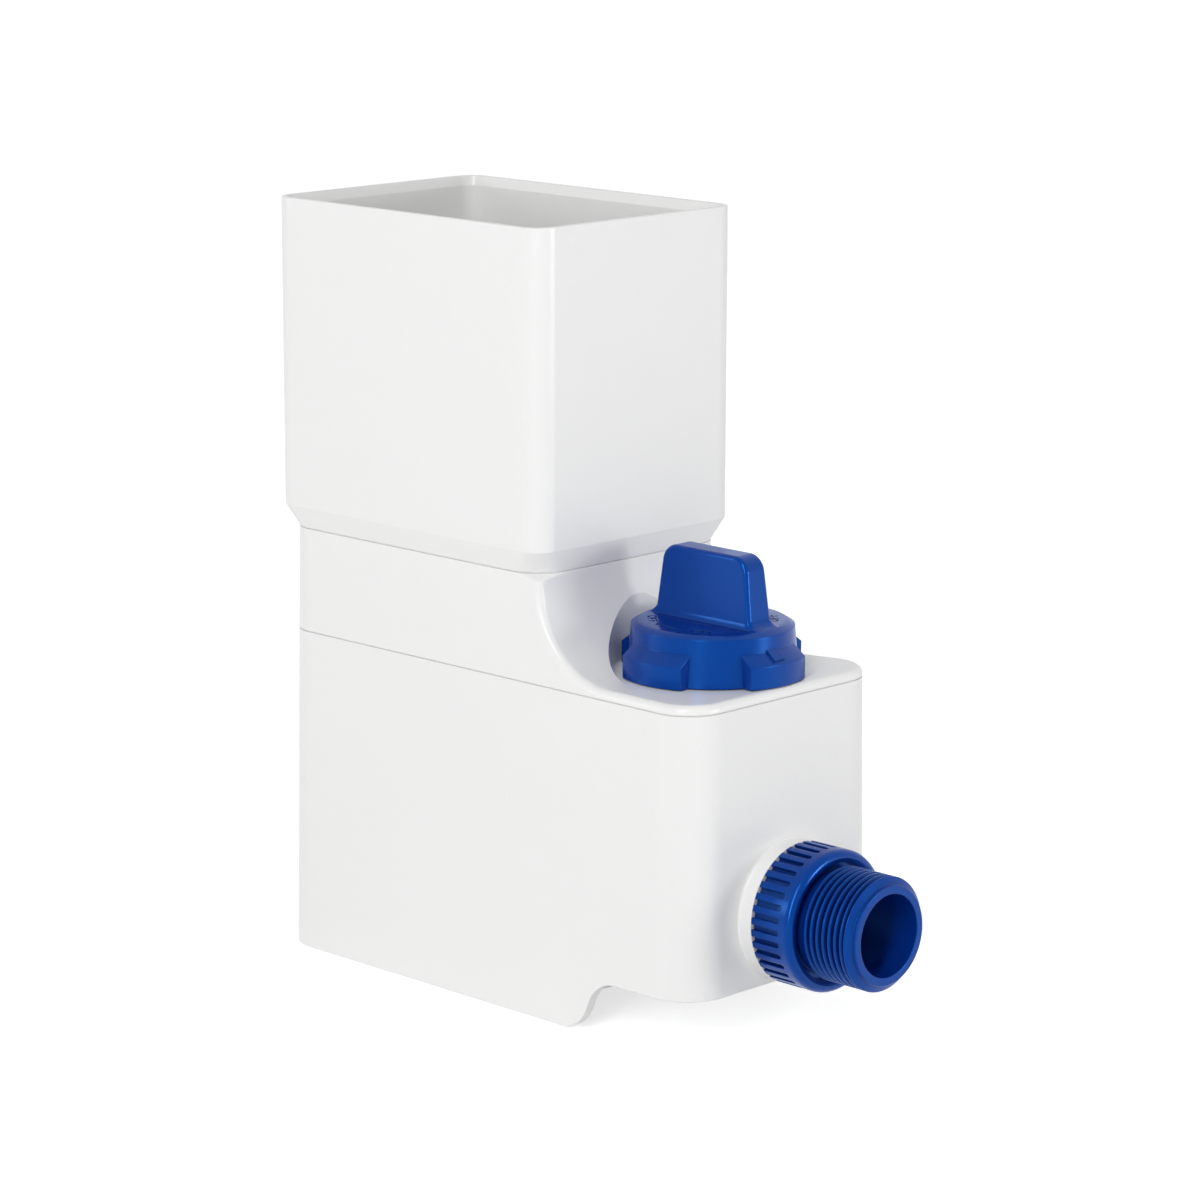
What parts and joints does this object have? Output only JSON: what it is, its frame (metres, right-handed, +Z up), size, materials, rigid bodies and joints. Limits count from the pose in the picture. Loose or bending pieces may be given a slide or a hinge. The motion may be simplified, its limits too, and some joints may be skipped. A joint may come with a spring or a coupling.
{
  "type": "rainwater diverter",
  "caption": "Rectangular in-line downspout diverter with a white box housing, a blue ON/OFF valve knob on a front deck and a blue threaded side outlet.",
  "frame": {"origin": "middle of the lower downspout opening, on the plane of the skirt's lower edge", "axes": "+Z up along the downspout, +X towards the threaded outlet, +Y completes a right-handed frame"},
  "size_m": [0.2124, 0.0834, 0.2312],
  "materials": {
    "white_plastic": "moulded white vinyl, semi-gloss",
    "blue_plastic": "moulded blue, semi-gloss",
    "inner_plastic": "natural light grey, satin",
    "black_rubber": "plain",
    "screw_steel": "bright stainless"
  },
  "bodies": {
    "housing": {"inlet_socket": "white_plastic", "neck_gasket": "black_rubber", "cover": "white_plastic", "cover_gasket": "black_rubber", "main_body": "white_plastic", "collector_tray": "inner_plastic", "strainer": "inner_plastic", "valve_seat": "inner_plastic", "seat_seal": "black_rubber", "seat_screws": "screw_steel", "valve_sleeve": "black_rubber", "thrust_washer": "inner_plastic", "outlet_washer": "black_rubber", "outlet_tail": "blue_plastic", "union_nut": "blue_plastic"},
    "valve": {"knob": "blue_plastic", "valve_rotor": "inner_plastic", "knob_screw": "screw_steel", "spindle_ring_lower": "black_rubber", "spindle_ring_upper": "black_rubber"}
  },
  "joints": [
    {"name": "knob_turn", "type": "hinge", "parent": "housing", "child": "valve", "pos_m": [0.0865, 0, 0.1026], "axis": [0, 0, -1], "range_deg": [0, 90]}
  ]
}
